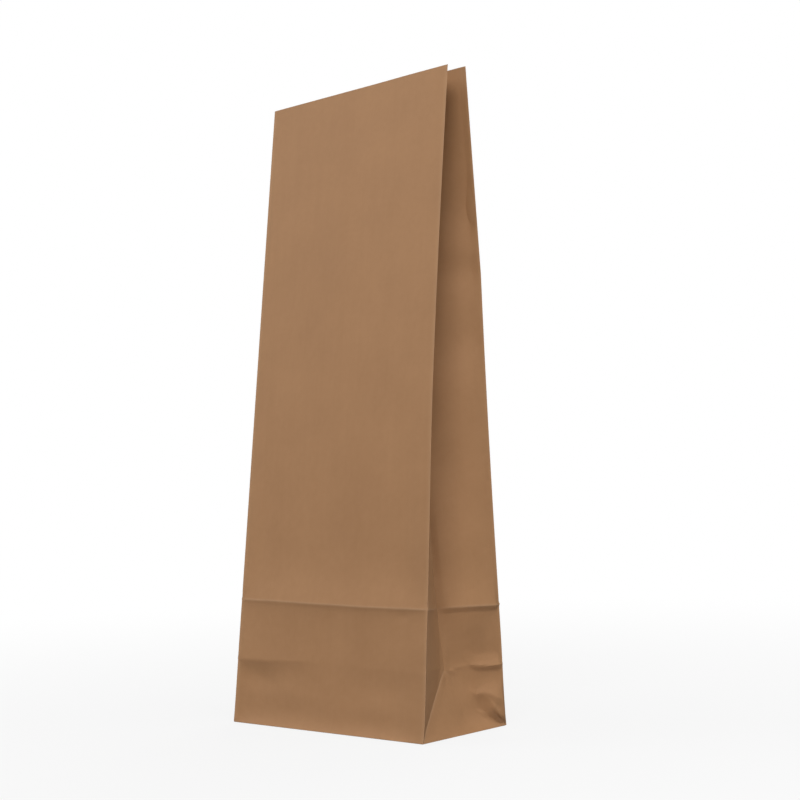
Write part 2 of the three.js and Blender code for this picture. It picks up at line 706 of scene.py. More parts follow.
@dataclass(frozen=True)
class Buckle:
    """Where a leaf of the gusset bulges over the lower end of its diagonal fold.

    Attributes:
        corner: Place round the girth of the corner fold that the leaf hangs from.
        lift: Most bulge of the leaf.
        crest: How far from the diagonal the bulge is highest.
        length: How far up the diagonal the bulge reaches.
        fall: How far beyond the crest it takes to fall to a third.
        close: How far beyond its length it takes to end.
        sag: How far the valley under the bulge sags below the diagonal.
        lip: Extra bulge beside the valley near the corner, and its width.
        pit: The hollow under the bulge.
        narrowest: Least way from the valley to the crest.
        soften: Shares of the length between which the valley turns from sharp to soft.
        grow: How far up the diagonal, from the corner fold and from the base it takes to
            reach its full size.
    """

    corner: float
    lift: float
    crest: float
    length: float
    fall: float
    close: float
    sag: float
    lip: tuple[float, float]
    pit: Dimple
    narrowest: float = 3.5 * MM
    soften: tuple[float, float] = (0.5, 0.85)
    grow: tuple[float, float, float] = (6.0 * MM, 3.0 * MM, 2.5 * MM)

    def relief(self, u: Array, v: Array) -> Array:
        """A pillow that rises from the valley, is highest along its crest and falls slowly.

        Up the diagonal by t, the valley lies the sag times sin(pi t / length) below the
        diagonal, and the crest lies the crest times (1 - (t / length)^3.5)^0.5 above it. At
        the share x of the way from valley to crest the bulge is the lift times
        (x + 1 - (1 - x)^3) / 2 where the valley is sharp, near the corner, and easing to the
        smooth step of x further up. By d beyond the crest it is the lift times e^(-d / fall).
        The lift shrinks with the crest where that is narrow. Over the sharp stretch the lip
        adds its lift times 1 - (1 - y)^2 at the share y of its width from the valley, and
        times e^(-d / (6 width)) by d beyond that. The bulge ends past its length, over the
        close and 0.8 times the way from the valley.

        Args:
            u: Places round the girth.
            v: Heights up the paper.

        Returns:
            The outward relief, in metres.
        """
        inside = self.corner - u
        along = (v + inside) / np.sqrt(2.0)
        share = np.clip(along / self.length, 0.0, 1.0)
        valley = -self.sag * np.sin(share * pi)
        off = np.maximum((v - inside) / np.sqrt(2.0) - valley, 0.0)
        crest = np.maximum(self.crest * np.sqrt(1.0 - share**3.5) - valley, self.narrowest)
        x = np.clip(off / crest, 0.0, 1.0)
        sharp_to, soft_from = self.soften
        soft = smooth((share - sharp_to) / (soft_from - sharp_to))
        pillow = lerp((x + 1.0 - (1.0 - x) ** 3) / 2.0, smooth(x), soft)
        pillow *= np.exp(-np.maximum(off - crest, 0.0) / self.fall)
        pillow *= np.minimum(1.0, crest / self.crest)
        lip_lift, width = self.lip
        lip = lip_lift * (1.0 - (1.0 - np.clip(off / width, 0.0, 1.0)) ** 2) * (1.0 - soft)
        lip *= np.exp(-np.maximum(off - width, 0.0) / (6.0 * width))
        up_diagonal, from_fold, from_base = self.grow
        close = self.close + 0.8 * off
        ends = smooth(along / up_diagonal) * (1.0 - smooth((along - self.length) / close))
        ends *= 1.0 - np.exp(-np.maximum(inside, 0.0) / from_fold)
        ends *= 1.0 - np.exp(-np.maximum(v, 0.0) / from_base)
        return (self.lift * pillow + lip + self.pit.relief(u, v)) * ends


@dataclass(frozen=True)
class Undulation:
    """The faint unevenness of a large sheet: a few waves laid over each other.

    Attributes:
        seed: Start of the random draws.
        waves: How many waves there are.
        shortest: Length of the shortest wave.
        longest: Length of the longest.
        lift: Height of the longest.
    """

    seed: int = 7
    waves: int = 14
    shortest: float = 55.0 * MM
    longest: float = 190.0 * MM
    lift: float = 0.11 * MM

    def relief(self, u: Array, v: Array) -> Array:
        """The sum of cosines of random way, length and start, each as high as it is long.

        Args:
            u: Places round the girth.
            v: Heights up the paper.

        Returns:
            The outward relief, in metres.
        """
        rng = np.random.default_rng(self.seed)
        total = np.zeros_like(u)
        for _ in range(self.waves):
            length = rng.uniform(self.shortest, self.longest)
            way = rng.uniform(0.0, pi)
            start = rng.uniform(0.0, 2.0 * pi)
            phase = (u * cos(way) + v * sin(way)) * 2.0 * pi / length + start
            total += self.lift * (length / self.longest) * np.cos(phase)
        return total


@dataclass(frozen=True)
class Seam:
    """The glued lap up the back, where the tube of paper is closed.

    Attributes:
        edge: Place round the girth of the free edge of the upper layer.
        width: Width of the glued lap.
        step: How far the upper layer stands proud.
        crisp: Width over which the step falls at the free edge.
    """

    edge: float
    width: float = 22.0 * MM
    step: float = 0.22 * MM
    crisp: float = 0.25 * MM

    def relief(self, u: Array, v: Array) -> Array:
        """A step down at the free edge, and a slow fall over twice the lap the other way.

        Args:
            u: Places round the girth.
            v: Heights up the paper.

        Returns:
            The outward relief, in metres.
        """
        behind = self.edge - u
        edge = np.clip(behind / self.crisp, 0.0, 1.0)
        return self.step * edge * smooth((2.0 * self.width - behind) / self.width)


@dataclass(frozen=True)
class Relief:
    """All that the paper's own handling adds to the folded form.

    Attributes:
        paper: The flat paper.
        creases: The ridges, of which the first is scuffed and painted with a highlight along its
            line.
        foot: How the walls draw in above the base.
        dimples: Soft bumps and hollows.
        buckle: The bulging leaf over a bottom triangle.
        seam: The glued lap.
        unpressed: Where a diagonal fold was never pressed.
        undulation: The faint unevenness of the sheet.
        corner_calm: How far from a fold the soft marks reach their full size.
        settle: Height over which the creases and marks grow from the base fold.
        rub_highlight_reach: Reach of the scuffing and painted highlight on each side of a fold.
        rubbed_highlight_lift: Lift of a crease that is scuffed and highlighted as much as a fold.
    """

    paper: FlatPaper
    creases: tuple[Ridge, ...]
    foot: Foot
    dimples: tuple[Dimple, ...]
    buckle: Buckle
    seam: Seam
    unpressed: Oval = Form.unpressed
    undulation: Undulation = Undulation()
    corner_calm: float = 9.0 * MM
    settle: float = 5.0 * MM
    rub_highlight_reach: float = 1.1 * MM
    rubbed_highlight_lift: float = 1.0 * MM

    def fold_distance(self, u: Array) -> Array:
        """The way round the girth from each place to the nearest corner fold."""
        return np.min(np.abs(u[..., None] - self.paper.corners), axis=-1)

    def inner_distance(self, u: Array, v: Array) -> Array:
        """The way over the sheet to the nearest fold inside a gusset.

        That is the centre fold above the apex, and a diagonal fold below it.

        Args:
            u: Places round the girth.
            v: Heights up the paper.

        Returns:
            The distances, as long as the girth outside the gussets.
        """
        leaf = self.paper.leaf
        nearest = np.full_like(u, self.paper.girth)
        for start in self.paper.gusset_starts:
            from_centre = np.abs(u - start - leaf)
            fold = np.where(v < leaf, np.abs(leaf - from_centre - v) / np.sqrt(2.0), from_centre)
            nearest = np.where(from_centre <= leaf, fold, nearest)
        return nearest

    def loose(self, u: Array, v: Array) -> Array:
        """How little a diagonal fold holds a place: the core of the unpressed oval."""
        return self.unpressed.core(u - self.paper.gusset_starts[0], v)

    def lift(self, u: Array, v: Array) -> Array:
        """The relief of every crease, mark and wave, calmed at the folds and the base.

        Args:
            u: Places round the girth.
            v: Heights up the paper.

        Returns:
            The outward relief, in metres.
        """
        away = self.fold_distance(u)
        calm = smooth(away / self.corner_calm)
        creases = sum(ridge.relief(u, v, away) for ridge in self.creases)
        inner_calm = smooth(self.inner_distance(u, v) / self.corner_calm)
        held = calm * np.maximum(inner_calm, self.loose(u, v))
        soft = self.undulation.relief(u, v) + sum(dimple.relief(u, v) for dimple in self.dimples)
        settled = 1.0 - np.exp(-np.maximum(v, 0.0) / self.settle)
        folded = self.buckle.relief(u, v) + self.foot.relief(u, v) * calm
        return (creases + self.seam.relief(u, v) + soft * held) * settled + folded

    def rubbed_and_highlit(self, distance: Array) -> Array:
        """Scuffing and painted highlight at a distance from a line: e to the minus squared
        distance, in reaches.
        """
        return np.exp(-((distance / self.rub_highlight_reach) ** 2))

    def wear_and_highlight(self, u: Array, v: Array) -> Array:
        """How much the paper is made lighter along its folds and creases, from 0 to 1: partly
        scuffed paper and partly a painted highlight where a rounded fold would catch light.

        The corner folds, the diagonal folds and the first crease are lightened. The centre folds
        point inward and aren't.

        Args:
            u: Places round the girth.
            v: Heights up the paper.

        Returns:
            The scuffing and painted highlight.
        """
        # Painted highlight: lightening the corner and diagonal folds and the first crease also
        # stands in for light caught on a rounded fold.
        corner = self.rubbed_and_highlit(self.fold_distance(u))
        diagonal = self.rubbed_and_highlit(self.inner_distance(u, v)) * (v < self.paper.leaf)
        diagonal *= 1.0 - self.loose(u, v)
        line = self.creases[0]
        crease = self.rubbed_and_highlit(v - line.line(u)) * np.clip(line.lift(u) / self.rubbed_highlight_lift, 0.0, 1.0)
        return np.max([corner, diagonal, crease], axis=0)


class Handling:
    """What folding and handling left on this sack, placed on the sheet in millimetres.

    Attributes:
        paper: The flat paper.
        leaf: Width of a leaf of a gusset.
        right: Where the right gusset begins.
        middle: The centre fold of the right gusset.
        back: Where the right gusset ends and the back begins.
        left: Where the left gusset begins.
        girth: The end of the walk round the sack.
    """

    def __init__(self, paper: FlatPaper) -> None:
        """Find the folds of a sheet.

        Args:
            paper: The flat paper.
        """
        self.paper = paper
        self.leaf = paper.leaf / MM
        self.right, self.left = (start / MM for start in paper.gusset_starts)
        self.middle = self.right + self.leaf
        self.back = self.middle + self.leaf
        self.girth = paper.girth / MM

    def high_creases(self) -> tuple[Ridge, Ridge]:
        """The high crease round the sack, and the slow sway of the paper beside it.

        Returns:
            The crease and the sway, along the same line.
        """
        line = (
            (0.0, 126.2, 1.5),
            (50.0, 125.9, 1.8),
            (100.0, 125.1, 2.0),
            (180.0, 124.3, 2.1),
            (self.right, 124.6, 2.0),
            (self.middle, 124.4, 0.2),
            (self.middle + 12.0, 124.0, 0.7),
            (self.middle + 34.0, 122.8, 1.2),
            (self.back, 120.2, 1.7),
            (self.back + 120.0, 122.0, 1.8),
            (self.left, 123.0, 1.8),
            (self.left + self.leaf, 124.0, 0.3),
            (self.girth, 126.2, 1.8),
        )
        crease = Ridge.at(
            stops=line,
            above=((Fall.QUICK, 3.1, 19.0), (Fall.ROUND, 1.8, 26.0), (Fall.QUICK, -3.9, 30.0)),
            below=((Fall.QUICK, 0.45, 2.5), (Fall.QUICK, 1.5, 15.0), (Fall.QUICK, -0.95, 30.0)),
        )
        sway = Ridge.at(
            stops=line,
            above=((Fall.QUICK, 3.9, 30.0), (Fall.QUICK, -3.9, 62.0)),
            below=((Fall.QUICK, 0.95, 30.0), (Fall.QUICK, -0.95, 62.0)),
            calm=32.0,
        )
        return crease, sway

    def low_creases(self) -> tuple[Ridge, Ridge]:
        """The low crease round the sack, and its sharper stretch beside the apex.

        Returns:
            The crease and the sharper stretch.
        """
        crease = Ridge.at(
            stops=(
                (0.0, 65.0, 2.2),
                (40.0, 65.0, 2.1),
                (85.0, 67.1, 1.5),
                (104.0, 67.4, 0.4),
                (120.0, 66.5, 0.2),
                (180.0, 65.5, 0.5),
                (self.right, 65.0, 0.3),
                (self.middle - 4.0, 65.0, 0.1),
                (self.middle + 6.0, 65.4, 0.3),
                (self.middle + 26.0, 65.4, 0.3),
                (self.middle + 36.0, 64.0, 0.0),
                (self.back, 61.5, 0.0),
                (self.back + 20.0, 63.0, 0.8),
                (self.left, 64.0, 1.1),
                (self.left + self.leaf, 66.0, 0.3),
                (self.girth, 65.0, 1.1),
            ),
            above=((Fall.QUICK, 1.0, 22.0),),
            below=((Fall.QUICK, 2.1, 12.0), (Fall.QUICK, -1.1, 44.0)),
        )
        hem = Ridge.at(
            stops=(
                (self.middle, 65.2, 0.0),
                (self.middle + 3.0, 65.2, 0.5),
                (self.middle + 25.0, 65.4, 0.3),
                (self.middle + 31.0, 65.2, 0.0),
            ),
            above=((Fall.QUICK, 1.0, 2.4),),
            below=((Fall.QUICK, 1.0, 14.0),),
        )
        return crease, hem

    def leaf_creases(self) -> tuple[Ridge, Ridge, Ridge]:
        """The marks across the back leaf of the right gusset.

        Returns:
            A bulging ridge at the low crease, a narrow groove under the high crease, and a
            wide swell between them.
        """
        bump = Ridge.at(
            stops=(
                (self.middle + 24.0, 73.0, 0.0),
                (self.middle + 27.0, 70.5, 0.3),
                (self.middle + 31.0, 66.8, 0.9),
                (self.middle + 35.0, 64.4, 1.9),
                (self.middle + 41.0, 62.9, 3.0),
                (self.middle + 50.0, 62.0, 3.6),
                (self.back, 61.0, 3.6),
                (self.back + 16.0, 62.0, 0.0),
            ),
            above=((Fall.STRAIGHT, 0.6, 10.5), (Fall.QUICK, 0.4, 3.2)),
            below=((Fall.STRAIGHT, 0.72, 5.0), (Fall.QUICK, 0.28, 16.0)),
            calm=5.0,
        )
        groove = Ridge.at(
            stops=(
                (self.middle + 1.0, 124.4, 0.0),
                (self.middle + 6.0, 124.2, 1.2),
                (self.middle + 12.0, 124.0, 1.7),
                (self.middle + 34.0, 122.8, 1.9),
                (self.back, 120.2, 2.1),
                (self.back + 30.0, 121.4, 0.0),
            ),
            above=((Fall.QUICK, 1.0, 30.0),),
            below=((Fall.STRAIGHT, 0.85, 4.8), (Fall.QUICK, 0.15, 12.0)),
            calm=4.0,
        )
        swell = Ridge.at(
            stops=(
                (self.middle + 1.0, 123.0, 0.0),
                (self.middle + 30.0, 122.0, 3.6),
                (self.back, 121.0, 2.2),
                (self.back + 30.0, 121.0, 0.0),
            ),
            above=((Fall.QUICK, 1.0, 120.0),),
            below=((Fall.ROUND, 1.0, 36.0),),
            calm=28.0,
        )
        return bump, groove, swell

    def foot(self) -> Foot:
        """How far the walls draw in above the base.

        Returns:
            The foot, deepest along the front.
        """
        stops = (
            (0.0, 0.8),
            (40.0, 3.4),
            (130.0, 4.6),
            (220.0, 4.6),
            (self.right, 0.8),
            (self.right + 60.0, 0.2),
            (self.back, 0.4),
            (self.back + 60.0, 1.2),
            (self.left, 0.6),
            (self.left + 60.0, 1.2),
            (self.girth, 0.6),
        )
        return Foot(millimetres(stops))

    def dimples(self) -> tuple[Dimple, ...]:
        """The soft bumps and hollows of the front and of both gussets.

        Each row is its face, its middle on that face, its reach along and across, its turn
        in degrees and its lift.

        Returns:
            The dimples, face by face.
        """
        front, right, left = 0.0, self.right, self.left
        rows = (
            (front, 32.0, 47.5, 23.0, 12.0, -10.0, -2.2),
            (front, 22.0, 12.0, 26.0, 20.0, 0.0, -1.2),
            (front, 227.0, 117.0, 7.0, 4.5, 25.0, -0.8),
            (front, 130.0, 108.0, 20.0, 8.0, 48.0, -0.6),
            (front, 130.0, 87.0, 24.0, 16.0, 0.0, -0.8),
            (front, 226.0, 76.0, 36.0, 24.0, 0.0, 1.1),
            (front, 195.0, 28.0, 30.0, 13.0, 4.0, 1.5),
            (front, 82.0, 33.0, 32.0, 12.0, -4.0, 1.1),
            (front, 140.0, 26.0, 26.0, 18.0, 0.0, 1.0),
            (front, 236.0, 24.0, 24.0, 22.0, 0.0, 1.3),
            (right, 84.0, 12.0, 36.0, 26.0, 0.0, -5.6),
            (right, 104.0, 34.0, 20.0, 10.0, 0.0, 1.5),
            (right, 92.0, 70.0, 30.0, 33.0, 0.0, -4.6),
            (right, 114.0, 98.0, 28.0, 30.0, 0.0, 1.6),
            (right, 90.0, 175.0, 35.0, 38.0, 0.0, 2.4),
            (right, 90.0, 262.0, 35.0, 30.0, 0.0, -1.6),
            (right, 102.0, 336.0, 26.0, 21.0, 35.0, 2.0),
            (right, 108.0, 386.0, 28.0, 18.0, 30.0, -1.3),
            (right, 112.0, 453.0, 26.0, 15.0, 6.0, -2.0),
            (right, 110.0, 508.0, 28.0, 21.0, 4.0, -2.6),
            (right, 110.0, 532.0, 24.0, 40.0, 0.0, -2.4),
            (right, 104.0, 584.0, 20.0, 34.0, 0.0, -1.8),
            (right, 108.0, 638.0, 26.0, 44.0, 0.0, -1.8),
            (left, 40.0, 470.0, 30.0, 18.0, 8.0, -1.8),
            (left, 34.0, 330.0, 28.0, 18.0, -9.0, 1.6),
            (left, 38.0, 540.0, 26.0, 20.0, 6.0, 1.6),
            (left, 68.0, 34.0, 34.0, 24.0, 0.0, -3.0),
        )
        return tuple(Dimple.at(face + u, *rest) for face, u, *rest in rows)

    def buckle(self) -> Buckle:
        """The bulging leaf over the bottom triangle at the right back corner.

        Returns:
            The buckle.
        """
        return Buckle(
            corner=self.back * MM,
            lift=4.0 * MM,
            crest=16.0 * MM,
            length=48.5 * MM,
            fall=10.0 * MM,
            close=5.0 * MM,
            sag=4.4 * MM,
            lip=(4.2 * MM, 9.5 * MM),
            pit=Dimple.at(self.right + 121.0, 6.5, 9.0, 3.0, -40.0, -1.4),
        )

    def relief(self) -> Relief:
        """All of it together.

        Returns:
            The relief, whose first crease is the high one, which is scuffed and painted with a
            highlight.
        """
        return Relief(
            paper=self.paper,
            creases=(*self.high_creases(), *self.low_creases(), *self.leaf_creases()),
            foot=self.foot(),
            dimples=self.dimples(),
            buckle=self.buckle(),
            seam=Seam(edge=(self.back + 62.0) * MM),
        )


# ---------------------------------------------------------------- meshes


@dataclass(frozen=True)
class Columns:
    """The columns of the grid round the girth.

    A gusset has evenly spaced columns, so that its diagonal folds meet the corners of the
    facets. A panel has wider ones, with a narrow column beside each corner fold.

    Attributes:
        paper: The flat paper.
        seam: The glued lap, whose free edge gets a column on each side of its step.
        front_count: Columns of the front.
        back_count: Columns of the back, without the two of the lap.
        leaf_count: Columns of half a gusset.
        beside_fold: Width of the narrow column.
    """

    paper: FlatPaper
    seam: Seam
    front_count: int = 64
    back_count: int = 46
    leaf_count: int = 38
    beside_fold: float = 1.0 * MM

    @property
    def pitch(self) -> float:
        """Width of a column of a gusset."""
        return self.paper.leaf / self.leaf_count

    def shares(self, face: int) -> Array:
        """The shares of the way across one face, without its last fold.

        Args:
            face: 0 front, 1 right gusset, 2 back, 3 left gusset.

        Returns:
            The shares, from 0.
        """
        if face % 2:
            return np.arange(2 * self.leaf_count) / (2 * self.leaf_count)
        count = self.front_count if face == 0 else self.back_count
        near = self.beside_fold / self.paper.front
        shares = np.concatenate([[0.0], np.linspace(near, 1.0 - near, count - 1)])
        if face == 2:
            edge = (self.seam.edge - self.paper.corners[2]) / self.paper.front
            step = self.seam.crisp / self.paper.front
            shares = np.sort(np.append(shares, [edge - step, edge]))
        return shares

    @property
    def u(self) -> Array:
        """The place round the girth of each column."""
        widths = np.diff(self.paper.corners)
        return np.concatenate(
            [self.paper.corners[i] + self.shares(i) * widths[i] for i in range(4)]
        )

    @property
    def rises(self) -> Array:
        """Whether the quad after each column is cut along its rising diagonal."""
        halves = [np.arange(n) < n / 2 for n in (len(self.shares(i)) for i in range(4))]
        return np.concatenate(halves)


def row_heights(paper: FlatPaper, stance: Stance, pitch: float) -> Array:
    """Heights of the rows: close at the base and at the creases, wide on the plain body.

    Above the bottom triangles they come in bands, each with so many rows up to its top.

    Args:
        paper: The flat paper.
        stance: How the sack stands.
        pitch: Spacing of the rows beside the bottom triangles.

    Returns:
        The heights up the paper, below 0 under the base.
    """
    radius, leaf = stance.base_radius, paper.leaf
    under = np.linspace(-radius, 0.0, 4, endpoint=False)
    foot = np.arange(6) * (pitch / 3.0)
    low = np.arange(2, round(leaf / pitch)) * pitch
    tops = (leaf, 113.0 * MM, 127.4 * MM, 139.0 * MM, paper.height)
    counts = (28, 18, 8, 80)
    bands = [
        np.linspace(bottom, top, count, endpoint=False)
        for bottom, top, count in zip(tops, tops[1:], counts)
    ]
    return np.concatenate([under, foot, low, *bands, [paper.height]])


def grid_triangles(rows: int, columns: int, rises: Array, closed: bool) -> Array:
    """Triangles of a grid, facing to the left of its upward columns seen from the front.

    Quad (k, i) has the corners a (k, i), b (k, i + 1), c (k + 1, i + 1) and d (k + 1, i). It is
    cut from a to c where it rises, and from b to d elsewhere.

    Args:
        rows: Rows of points.
        columns: Columns of quads.
        rises: Whether each column of quads is cut along its rising diagonal.
        closed: Whether the last column of quads ends on the first column of points.

    Returns:
        Point numbers, 2 (rows - 1) times columns by 3.
    """
    width = columns if closed else columns + 1
    k = np.arange(rows - 1)[:, None]
    i = np.arange(columns)[None, :]
    j = (i + 1) % width
    a, b, c, d = k * width + i, k * width + j, (k + 1) * width + j, (k + 1) * width + i
    rising = np.stack([np.stack([a, b, c], -1), np.stack([a, c, d], -1)], axis=-2)
    falling = np.stack([np.stack([a, b, d], -1), np.stack([b, c, d], -1)], axis=-2)
    return np.where(rises[None, :, None, None], rising, falling).reshape(-1, 3)


@dataclass
class Skin:
    """Points and triangles with a place on the sheet at every triangle corner.

    Attributes:
        points: The points, n by 3.
        triangles: Point numbers, m by 3.
        sheet: Places on the sheet, m by 3 by 2.
        wear_and_highlight: Scuffing and painted highlight of the folds at each point, n.
    """

    points: Array
    triangles: Array
    sheet: Array
    wear_and_highlight: Array

    def turned(self) -> "Skin":
        """The same skin facing the other way."""
        return Skin(self.points, self.triangles[:, ::-1], self.sheet[:, ::-1], self.wear_and_highlight)

    @staticmethod
    def joined(skins: Sequence["Skin"]) -> "Skin":
        """Lay several skins into one, without welding them.

        Args:
            skins: The skins.

        Returns:
            One skin with all their points and triangles.
        """
        starts = np.cumsum([0, *[len(skin.points) for skin in skins[:-1]]])
        return Skin(
            np.concatenate([skin.points for skin in skins]),
            np.concatenate([s.triangles + n for s, n in zip(skins, starts)]),
            np.concatenate([skin.sheet for skin in skins]),
            np.concatenate([skin.wear_and_highlight for skin in skins]),
        )

    def as_object(self, name: str, material: bpy.types.Material, crisp: float) -> bpy.types.Object:
        """Make the mesh object, smooth but for edges sharper than an angle.

        Args:
            name: Name of the piece.
            material: Its finish.
            crisp: Angle between facets past which an edge stays sharp, in radians.

        Returns:
            The object, at the origin.
        """
        mesh = bpy.data.meshes.new(name)
        mesh.vertices.add(len(self.points))
        mesh.vertices.foreach_set("co", self.points.astype(np.float32).ravel())
        mesh.loops.add(self.triangles.size)
        mesh.loops.foreach_set("vertex_index", self.triangles.astype(np.int32).ravel())
        mesh.polygons.add(len(self.triangles))
        starts = np.arange(0, self.triangles.size, 3, dtype=np.int32)
        mesh.polygons.foreach_set("loop_start", starts)
        mesh.update(calc_edges=True)
        layer = mesh.uv_layers.new(name=SHEET_MAP)
        layer.uv.foreach_set("vector", self.sheet.astype(np.float32).ravel())
        worn_and_highlit = mesh.attributes.new(WEAR_AND_HIGHLIGHT, "FLOAT", "POINT")
        worn_and_highlit.data.foreach_set("value", self.wear_and_highlight.astype(np.float32))
        mesh.validate()
        mesh.shade_smooth()
        mesh.set_sharp_from_angle(angle=crisp)
        mesh.materials.append(material)
        piece = bpy.data.objects.new(name, mesh)
        bpy.context.scene.collection.objects.link(piece)
        return piece


@dataclass(frozen=True)
class Sack:
    """The sack's paper: an outer and an inner skin, joined round the mouth.

    Attributes:
        paper: The flat paper.
        form: Its folded form.
        relief: Its creases and marks.
        columns: The columns of its grid.
        mitre_limit: Most lengthening of an offset where two faces meet at a fold.
        pressed: Share of the thickness left at a corner fold, and how far from it the sheet
            is whole again.
        crisp: Angle past which an edge stays sharp.
    """

    paper: FlatPaper
    form: Form
    relief: Relief
    columns: Columns
    mitre_limit: float = 2.5
    pressed: tuple[float, float] = (0.4, 4.0 * MM)
    crisp: float = radians(24.0)

    def offset(self, ring: Array, distance: Array) -> Array:
        """Move a ring grid square to its surface, mitred where two faces meet.

        With unit normals m and n of the facets left and right of a point, it moves by the
        distance along (m + n) / (1 + m.n), which keeps both facets parallel to themselves.

        Args:
            ring: Points, rows by columns by 3.
            distance: Outward distances, rows by columns.

        Returns:
            The moved points.
        """
        up = np.gradient(ring, axis=0)
        ahead = np.roll(ring, -1, axis=1) - ring
        after = unit(np.cross(ahead, up))
        before = np.roll(after, 1, axis=1)
        both = before + after
        square = 1.0 + np.sum(before * after, axis=-1, keepdims=True)
        mitre = both / np.maximum(square, TINY)
        length = np.linalg.norm(mitre, axis=-1, keepdims=True)
        mitre *= np.minimum(1.0, self.mitre_limit / length)
        return ring + mitre * distance[..., None]

    def shell(self) -> Skin:
        """Both skins with their bottoms, and the cut edge of the mouth.

        Returns:
            One closed skin.
        """
        u, rises = self.columns.u, self.columns.rises
        v = row_heights(self.paper, self.form.stance, self.columns.pitch)
        around, up = np.meshgrid(u, v)
        outer = self.offset(self.form.ring(self.columns, v), self.relief.lift(around, up))
        outer[0, :, 2] = self.form.stance.lift
        left, whole = self.pressed
        thickness = lerp(left, 1.0, smooth(self.relief.fold_distance(around) / whole))
        inner = self.offset(outer, -self.paper.thickness * thickness)
        inner[0, :, 2] = self.form.stance.lift + self.paper.thickness

        worn_and_highlit = self.relief.wear_and_highlight(around, np.maximum(up, 0.0))
        rows, count = outer.shape[:2]
        faces = grid_triangles(rows, count, rises, closed=True)
        unwrapped = grid_triangles(rows, count, rises, closed=False)
        ends = np.append(u, self.paper.girth)
        places = np.stack(np.meshgrid(ends, v), axis=-1).reshape(-1, 2)[unwrapped]
        skins = []
        for ring in (outer, inner):
            wall = Skin(ring.reshape(-1, 3), faces, places, worn_and_highlit.ravel())
            skins.append(self.with_bottom(wall, ring[0], worn_and_highlit[0]))
        shell = Skin.joined([skins[0], skins[1].turned()])
        return self.with_rim(shell, rows, count, len(skins[0].points), ends)

    def with_bottom(self, wall: Skin, ring: Array, worn_and_highlit: Array) -> Skin:
        """Close a wall's lowest ring with flat triangles round the middle of the base.

        Args:
            wall: The wall, whose first points are the lowest ring.
            ring: Those points.
            worn_and_highlit: Their scuffing and painted highlight.

        Returns:
            The wall with its bottom.
        """
        count = len(ring)
        middle = ring.mean(axis=0)
        i = np.arange(count)
        fan = np.stack([np.full(count, len(wall.points)), (i + 1) % count, i], axis=-1)
        flat = np.vstack([ring, middle])[:, :2] + self.paper.beside(self.paper.leaf)
        numbers = np.where(fan == len(wall.points), count, fan)
        return Skin(
            np.vstack([wall.points, middle]),
            np.concatenate([wall.triangles, fan]),
            np.concatenate([wall.sheet, flat[numbers]]),
            np.append(wall.wear_and_highlight, 0.0),
        )

    def with_rim(self, shell: Skin, rows: int, count: int, inner_start: int, ends: Array) -> Skin:
        """Join the top rows of both skins with the cut edge of the paper.

        Args:
            shell: The outer skin's points, then the inner skin's.
            rows: Rows of each skin.
            count: Columns of each skin.
            inner_start: Number of the inner skin's first point.
            ends: Places round the girth, with the end of the walk.

        Returns:
            The closed shell.
        """
        i = np.arange(count)
        j = (i + 1) % count
        out, into = (rows - 1) * count, inner_start + (rows - 1) * count
        edge = np.concatenate(
            [
                np.stack([out + i, out + j, into + j], axis=-1),
                np.stack([out + i, into + j, into + i], axis=-1),
            ]
        )
        along = np.stack([ends, np.full_like(ends, self.paper.height)], axis=-1)
        first, last = along[:-1], along[1:]
        places = np.concatenate(
            [np.stack([first, last, last], axis=1), np.stack([first, last, first], axis=1)]
        )
        return Skin(
            shell.points,
            np.concatenate([shell.triangles, edge]),
            np.concatenate([shell.sheet, places]),
            shell.wear_and_highlight,
        )

    def build(self, finish: bpy.types.Material) -> bpy.types.Object:
        """Make the piece and give it its place in the frame.

        Args:
            finish: The paper's material.

        Returns:
            The piece.
        """
        return dress(self.shell().as_object("sack_paper", finish, self.crisp))


